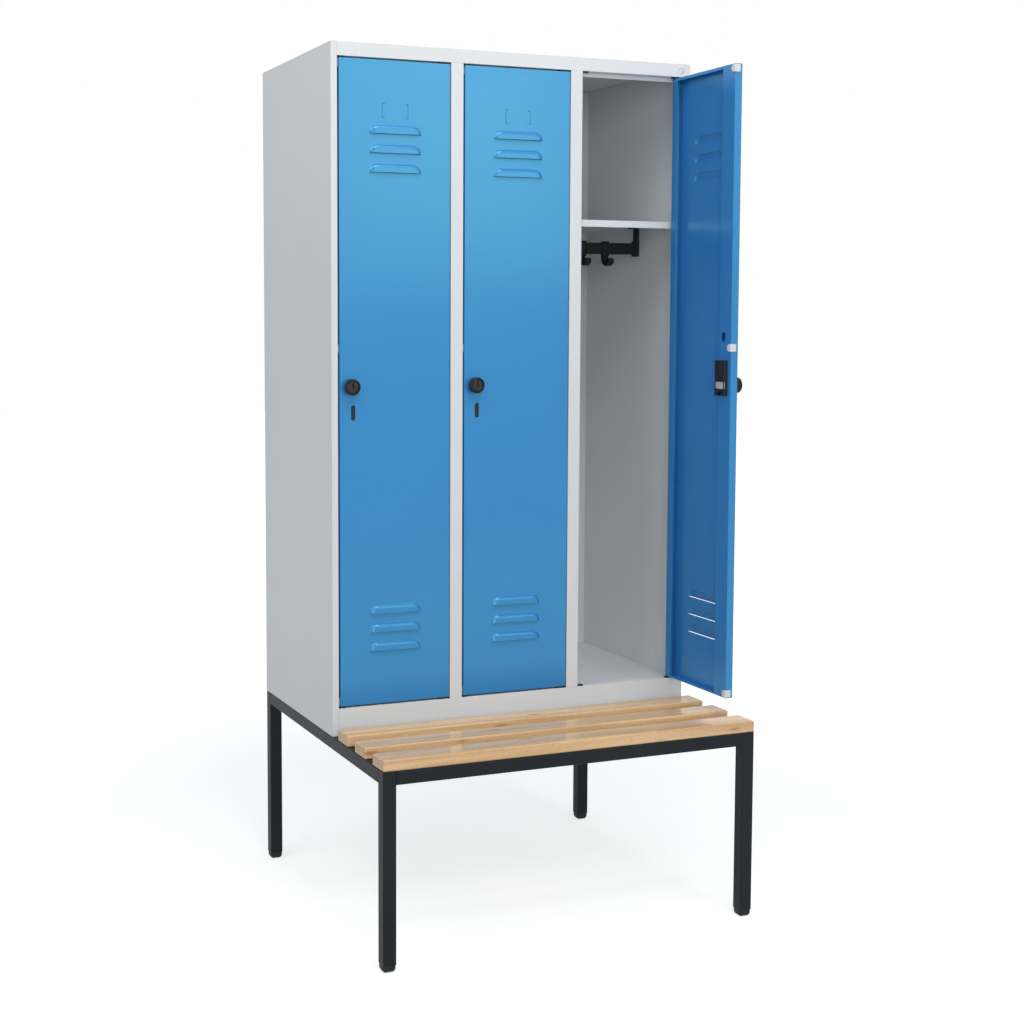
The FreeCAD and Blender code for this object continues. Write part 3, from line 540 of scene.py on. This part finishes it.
bpy.ops.transform.resize(
    value=(1.0, HOOK_BOW_WALL / band_depth, 1.0), center_override=(hook_x, band_back, bow_z))
bpy.ops.mesh.spin(
    steps=HOOK_CURL_STEPS, angle=HOOK_CURL, center=(hook_x, bow_y, bow_z), axis=(1.0, 0.0, 0.0))
extrude(0.0, -HOOK_TIP * math.sin(HOOK_CURL), -HOOK_TIP * math.cos(HOOK_CURL))
bpy.ops.transform.resize(value=(HOOK_TIP_TAPER, HOOK_TIP_TAPER, HOOK_TIP_TAPER))
bpy.ops.mesh.select_all(action="DESELECT")
bpy.ops.mesh.select_mode(type="EDGE")
bpy.ops.mesh.edges_select_sharp(sharpness=HOOK_CREASE)
bpy.ops.mesh.bevel(offset=HOOK_ROUND, segments=HOOK_ROUND_STEPS)
end_piece(hook, rail_plastic, HOOK_CREASE)
bpy.ops.object.select_all(action="DESELECT")
bpy.ops.mesh.primitive_cube_add(
    size=1.0, location=(hook_x, rail_y, rail_z),
    scale=(2 * HOOK_WIDTH, rail_depth + 2 * HOOK_CLEARANCE, rail_height + 2 * HOOK_CLEARANCE))
cut_away(hook, bpy.context.object)
for bay in BAYS:
    for place in HOOK_PLACES:
        dress(rail_plastic, f"hook_{bay}_{place}")
        piece = hook
        if (bay, place) != ("left", 1):
            piece = duplicate(hook, f"coat_hook_{bay}_{place}")
            shift(centre_of(f"hook_{bay}_{place}")[0] - hook_x, 0.0, 0.0)
            settle()
        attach(piece, f"{bay}_hook_{place}")
        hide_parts(f"hook_{bay}_{place}")

# Pivot bushes and corner pads: moulded black plastic blocks in the corners of each
# opening. The bushes hold the ends of the doors' pins, at the top and at the bottom.
dress(black_plastic, "hinge_bushes", "corner_pads")

# Doors: folded trays of sheet steel with pressed louvres and two label clips, in
# light blue powder coat with a soft gloss. The pivot pins are painted with the doors.
DOOR_BLUE = (0.031, 0.198, 0.528, 1.0)
DOOR_BLUE_THIN = (0.034, 0.208, 0.546, 1.0)
DOOR_SHINE_TINT = (0.33, 1.0, 0.80, 1.0)
door_paint = painted_steel(
    "door paint", DOOR_BLUE, DOOR_BLUE_THIN, roughness=0.21, shine=1.0, fold=0.0012, tint=DOOR_SHINE_TINT)
for bay in BAYS:
    dress(door_paint, f"door_{bay}", f"pivot_pins_{bay}")

# Turn knobs: turned black plastic heads with a round recess in the face, on a neck and
# a spindle that runs through the door to the lock.
KNOB_BLACK = (0.008, 0.008, 0.009, 1.0)
KNOB_BLACK_WORN = (0.014, 0.014, 0.015, 1.0)
KNOB_SIDES = 64
KNOB_HEAD = 0.015
KNOB_NECK = 0.0045
KNOB_NECK_RADIUS = 0.009
KNOB_SPINDLE = 0.0215
KNOB_SPINDLE_RADIUS = 0.005
KNOB_RIM = 0.0048
KNOB_RECESS = 0.0024
KNOB_RECESS_SLOPE = 0.0004
KNOB_FRONT_ROUND = 0.0036
KNOB_FRONT_STEPS = 5
KNOB_BACK_ROUND = 0.006
KNOB_BACK_STEPS = 6
KNOB_OUTER_SHARE = 0.97
KNOB_CREASE = math.radians(28.0)
AXIS_FORWARD = (math.pi / 2, 0.0, 0.0)


def copy_to_door(piece, name, bay):
    """A copy with its own mesh at the same place on another door, as the knobs stand."""
    copy = duplicate(piece, name)
    start = centre_of("knob_left")
    end = centre_of(f"knob_{bay}")
    if bay == "right":
        bpy.ops.transform.rotate(value=-math.pi / 2, orient_axis="Z", center_override=start)
    shift(*[after - before for before, after in zip(start, end)])
    settle()
    return copy


knob_plastic = plastic(
    "knob plastic", KNOB_BLACK, KNOB_BLACK_WORN, roughness=0.26, shine=0.18, grain=0.12, edge=0.001)
knob_low, knob_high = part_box("knob_left")
knob_radius = (knob_high[0] - knob_low[0]) / 2
knob_x, _, knob_z = centre_of("knob_left")
knob_front = knob_low[1]
knob_back = knob_front + KNOB_HEAD
bpy.ops.object.select_all(action="DESELECT")
bpy.ops.mesh.primitive_cylinder_add(
    vertices=KNOB_SIDES, radius=knob_radius, depth=KNOB_HEAD, rotation=AXIS_FORWARD,
    location=(knob_x, knob_front + KNOB_HEAD / 2, knob_z))
knob = start_piece("turn_knob_left")
pick(knob, "FACE", lambda middle, face: face.normal.y > FACING)
bpy.ops.mesh.inset(thickness=knob_radius - KNOB_NECK_RADIUS)
extrude(0.0, KNOB_NECK, 0.0)
bpy.ops.mesh.inset(thickness=KNOB_NECK_RADIUS - KNOB_SPINDLE_RADIUS)
extrude(0.0, KNOB_SPINDLE, 0.0)
pick(knob, "FACE", lambda middle, face: face.normal.y < -FACING)
bpy.ops.mesh.inset(thickness=KNOB_RIM)
bpy.ops.mesh.inset(thickness=KNOB_RECESS_SLOPE)
shift(0.0, KNOB_RECESS, 0.0)
for rim_y, rounding, steps in ((knob_front, KNOB_FRONT_ROUND, KNOB_FRONT_STEPS),
                               (knob_back, KNOB_BACK_ROUND, KNOB_BACK_STEPS)):
    pick(knob, "EDGE", lambda middle, edge: abs(middle.y - rim_y) < NEAR
         and math.hypot(middle.x - knob_x, middle.z - knob_z) > knob_radius * KNOB_OUTER_SHARE)
    bpy.ops.mesh.bevel(offset=rounding, segments=steps)
end_piece(knob, knob_plastic, KNOB_CREASE)
for bay in BAYS:
    dress(knob_plastic, f"knob_{bay}")
    piece = knob if bay == "left" else copy_to_door(knob, f"turn_knob_{bay}", bay)
    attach(piece, f"{bay}_knob")
    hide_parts(f"knob_{bay}")

# Lock plugs: domed discs of dark grey plastic pressed into the knobs' recesses, each
# with an upright keyway from the middle to the top.
PLUG_GREY = (0.014, 0.0137, 0.0134, 1.0)
PLUG_GREY_WORN = (0.026, 0.0255, 0.025, 1.0)
PLUG_SIDES = 48
PLUG_RADIUS = 0.0126
PLUG_DEPTH = 0.0014
PLUG_STEPS = ((0.0022, 0.0006), (0.0045, 0.0004))
PLUG_CREASE = math.radians(40.0)
KEYWAY = (0.0032, 0.006, 0.0145)
KEYWAY_RISE = 0.0042
plug_plastic = plastic(
    "plug plastic", PLUG_GREY, PLUG_GREY_WORN, roughness=0.3, shine=0.3, grain=0.15, edge=0.0006)
plug_back = knob_front + KNOB_RECESS
bpy.ops.object.select_all(action="DESELECT")
bpy.ops.mesh.primitive_cylinder_add(
    vertices=PLUG_SIDES, radius=PLUG_RADIUS, depth=PLUG_DEPTH, rotation=AXIS_FORWARD,
    location=(knob_x, plug_back - PLUG_DEPTH / 2, knob_z))
plug = start_piece("lock_plug_left")
pick(plug, "FACE", lambda middle, face: face.normal.y < -FACING)
for inset, rise in PLUG_STEPS:
    bpy.ops.mesh.inset(thickness=inset)
    shift(0.0, -rise, 0.0)
end_piece(plug, plug_plastic, PLUG_CREASE)
bpy.ops.object.select_all(action="DESELECT")
bpy.ops.mesh.primitive_cube_add(
    size=1.0, scale=KEYWAY, location=(knob_x, knob_front, knob_z + KEYWAY_RISE))
cut_away(plug, bpy.context.object)
for bay in BAYS:
    piece = plug if bay == "left" else copy_to_door(plug, f"lock_plug_{bay}", bay)
    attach(piece, f"{bay}_knob")

# Slot liners: dark grey plastic inserts pressed into the slot below each knob, with a
# sunk face and a thin upright rib.
LINER_GREY = (0.028, 0.038, 0.045, 1.0)
LINER_GREY_WORN = (0.040, 0.050, 0.057, 1.0)
LINER_SIDES = 32
LINER_WIDTH = 0.0098
LINER_HEIGHT = 0.0338
LINER_DEPTH = 0.005
LINER_SETBACK = 0.0004
LINER_DROP = 0.0575
LINER_OFFSET = 0.0065
LINER_RIM = 0.0012
LINER_HOLLOW = 0.0022
LINER_RIB_MARGIN = 0.0026
LINER_RIB_RISE = 0.0016
LINER_CREASE = math.radians(35.0)
liner_plastic = plastic(
    "liner plastic", LINER_GREY, LINER_GREY_WORN, roughness=0.45, shine=0.25, grain=0.25, edge=0.001)
door_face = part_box("side_panel_left")[0][1]
liner_x = knob_x + LINER_OFFSET
liner_z = knob_z - LINER_DROP
bpy.ops.object.select_all(action="DESELECT")
bpy.ops.mesh.primitive_cylinder_add(
    vertices=LINER_SIDES, radius=LINER_WIDTH / 2, depth=LINER_DEPTH, rotation=AXIS_FORWARD,
    location=(liner_x, door_face + LINER_DEPTH / 2 + LINER_SETBACK, liner_z))
liner = start_piece("slot_liner_left")
for way in (-1.0, 1.0):
    pick(liner, "EDGE", lambda middle, edge: way * (middle.z - liner_z) > NEAR)
    shift(0.0, 0.0, way * (LINER_HEIGHT - LINER_WIDTH) / 2)
pick(liner, "FACE", lambda middle, face: face.normal.y < -FACING)
bpy.ops.mesh.inset(thickness=LINER_RIM)
extrude(0.0, LINER_HOLLOW, 0.0)
bpy.ops.mesh.inset(thickness=LINER_RIB_MARGIN)
extrude(0.0, -LINER_RIB_RISE, 0.0)
end_piece(liner, liner_plastic, LINER_CREASE)
for bay in BAYS:
    piece = liner if bay == "left" else copy_to_door(liner, f"slot_liner_{bay}", bay)
    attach(piece, f"{bay}_door")

# Lock cases and latches: black plastic cases on the doors' lips, with a bright
# nickel-plated latch that slides behind a window.
NICKEL = (0.86, 0.87, 0.88, 1.0)
NICKEL_DULL = (0.74, 0.75, 0.76, 1.0)
nickel = bright_metal("nickel", NICKEL, NICKEL_DULL, smooth=0.45, rough=0.6)
for bay in BAYS:
    dress(black_plastic, f"lock_case_{bay}")
    dress(nickel, f"latch_{bay}")

# Buffers: round-ended clips of white plastic, pushed over the back corner of each door's
# free edge, at its two ends and by the lock. They soften the door's stop.
BUFFER_WHITE = (0.72, 0.735, 0.75, 1.0)
BUFFER_WHITE_WORN = (0.66, 0.675, 0.69, 1.0)
buffer_plastic = plastic(
    "buffer plastic", BUFFER_WHITE, BUFFER_WHITE_WORN, roughness=0.4, shine=0.4, grain=0.1, edge=0.002)
dress(buffer_plastic, *[f"buffers_{bay}" for bay in BAYS])

# Badge plate: a bare oval of satin aluminium at the right end of the header. It is
# stamped from thin sheet and lies flat on the paint.
ALUMINIUM = (0.49, 0.50, 0.52, 1.0)
ALUMINIUM_DULL = (0.36, 0.37, 0.39, 1.0)
dress(bright_metal("aluminium", ALUMINIUM, ALUMINIUM_DULL, smooth=0.3, rough=0.5), "badge_plate")

# Studio: a wide pale floor that fades into a white background. Four soft lamps, in
# front, above and to the left, and an even sky light the object.
FLOOR_SIZE = 40.0
FLOOR_TONE = (0.55, 0.55, 0.55, 1.0)
FLOOR_ROUGHNESS = 0.9
FLOOR_GLOW = 0.68
FLOOR_FADE = (1.2, 3.5)
SKY_STRENGTH = 0.34
SKY_TINT = (0.85, 0.94, 1.0, 1.0)


def seen_directly(tree):
    """Mask of the rays by which camera, metal and glass see a surface."""
    path = add_node(tree, "ShaderNodeLightPath")
    mirrored = add_node(tree, "ShaderNodeMath", operation="MAXIMUM")
    seen = add_node(tree, "ShaderNodeMath", operation="MAXIMUM")
    tree.links.new(path.outputs["Is Glossy Ray"], mirrored.inputs[0])
    tree.links.new(path.outputs["Is Transmission Ray"], mirrored.inputs[1])
    tree.links.new(path.outputs["Is Camera Ray"], seen.inputs[0])
    tree.links.new(mirrored.outputs["Value"], seen.inputs[1])
    return seen.outputs["Value"]


bpy.ops.object.select_all(action="DESELECT")
bpy.ops.mesh.primitive_plane_add(size=FLOOR_SIZE)
studio_floor = bpy.context.object
studio_floor.name = "studio_floor"
floor_material, floor_tree, floor_shader = new_material("studio floor")
floor_shader.inputs["Base Color"].default_value = FLOOR_TONE
floor_shader.inputs["Roughness"].default_value = FLOOR_ROUGHNESS
floor_shader.inputs["Specular IOR Level"].default_value = 0.0
floor_place = add_node(floor_tree, "ShaderNodeTexCoord")
distance = add_node(floor_tree, "ShaderNodeVectorMath", operation="LENGTH")
glow = add_node(floor_tree, "ShaderNodeEmission", Color=WHITE)
both = add_node(floor_tree, "ShaderNodeAddShader")
shown = add_node(floor_tree, "ShaderNodeMixShader")
floor_link = floor_tree.links.new
floor_link(floor_place.outputs["Object"], distance.inputs[0])
floor_link(map_range(floor_tree, distance.outputs["Value"], FLOOR_FADE, (FLOOR_GLOW, 1.0)),
           glow.inputs["Strength"])
floor_link(floor_shader.outputs["BSDF"], both.inputs[0])
floor_link(glow.outputs["Emission"], both.inputs[1])
floor_link(seen_directly(floor_tree), shown.inputs["Fac"])
floor_link(floor_shader.outputs["BSDF"], shown.inputs[1])
floor_link(both.outputs["Shader"], shown.inputs[2])
floor_link(shown.outputs["Shader"], floor_tree.nodes["Material Output"].inputs["Surface"])
studio_floor.data.materials.append(floor_material)

sky = bpy.data.worlds.new("studio sky")
sky.use_nodes = True
sky_tree = sky.node_tree
sky_light = sky_tree.nodes["Background"]
sky_light.inputs["Color"].default_value = SKY_TINT
sky_light.inputs["Strength"].default_value = SKY_STRENGTH
sky_backdrop = add_node(sky_tree, "ShaderNodeBackground", Color=WHITE, Strength=1.0)
sky_mix = add_node(sky_tree, "ShaderNodeMixShader")
sky_tree.links.new(seen_directly(sky_tree), sky_mix.inputs["Fac"])
sky_tree.links.new(sky_light.outputs["Background"], sky_mix.inputs[1])
sky_tree.links.new(sky_backdrop.outputs["Background"], sky_mix.inputs[2])
sky_tree.links.new(sky_mix.outputs["Shader"], sky_tree.nodes["World Output"].inputs["Surface"])
bpy.context.scene.world = sky


def soft_lamp(name, place, aim, side, power):
    """A square soft box at a place, turned towards a point."""
    lamp = bpy.data.lights.new(name, "AREA")
    lamp.size = side
    lamp.energy = power
    holder = bpy.data.objects.new(name, lamp)
    bpy.context.collection.objects.link(holder)
    across = aim[0] - place[0]
    along = aim[1] - place[1]
    down = place[2] - aim[2]
    level = math.hypot(across, along)
    holder.location = place
    holder.rotation_euler = (math.atan2(level, down), 0.0, math.atan2(-across, along))


soft_lamp("key lamp", place=(1.3, -3.6, 2.4), aim=(0.0, -0.1, 1.4), side=1.65, power=18.5)
soft_lamp("high lamp", place=(0.0, -2.3, 4.6), aim=(0.0, -0.1, 1.0), side=2.0, power=71.0)
soft_lamp("front lamp", place=(-2.2, -5.2, 1.9), aim=(0.1, 0.0, 1.4), side=2.2, power=77.0)
soft_lamp("left lamp", place=(-2.2, -0.7, 3.9), aim=(0.0, -0.1, 1.9), side=1.8, power=34.0)

# Camera: at chest height in front of the left corner, with a long lens, tipped down a
# little. Its picture is shifted sideways and down, and its colours are shown as they are.
CAMERA_PLACE = (-1.63265, -3.46549, 1.35323)
CAMERA_TURN = 0.3808
CAMERA_TIP = -0.0794
CAMERA_SHIFT = (0.1073, -0.06)
LENS = 57.147
SENSOR = 36.0
camera_data = bpy.data.cameras.new("camera")
camera_data.sensor_fit = "HORIZONTAL"
camera_data.sensor_width = SENSOR
camera_data.lens = LENS
camera_data.shift_x, camera_data.shift_y = CAMERA_SHIFT
camera = bpy.data.objects.new("camera", camera_data)
camera.location = CAMERA_PLACE
camera.rotation_euler = (math.pi / 2 + CAMERA_TIP, 0.0, -CAMERA_TURN)
bpy.context.collection.objects.link(camera)
bpy.context.scene.camera = camera
bpy.context.scene.view_settings.view_transform = "Standard"
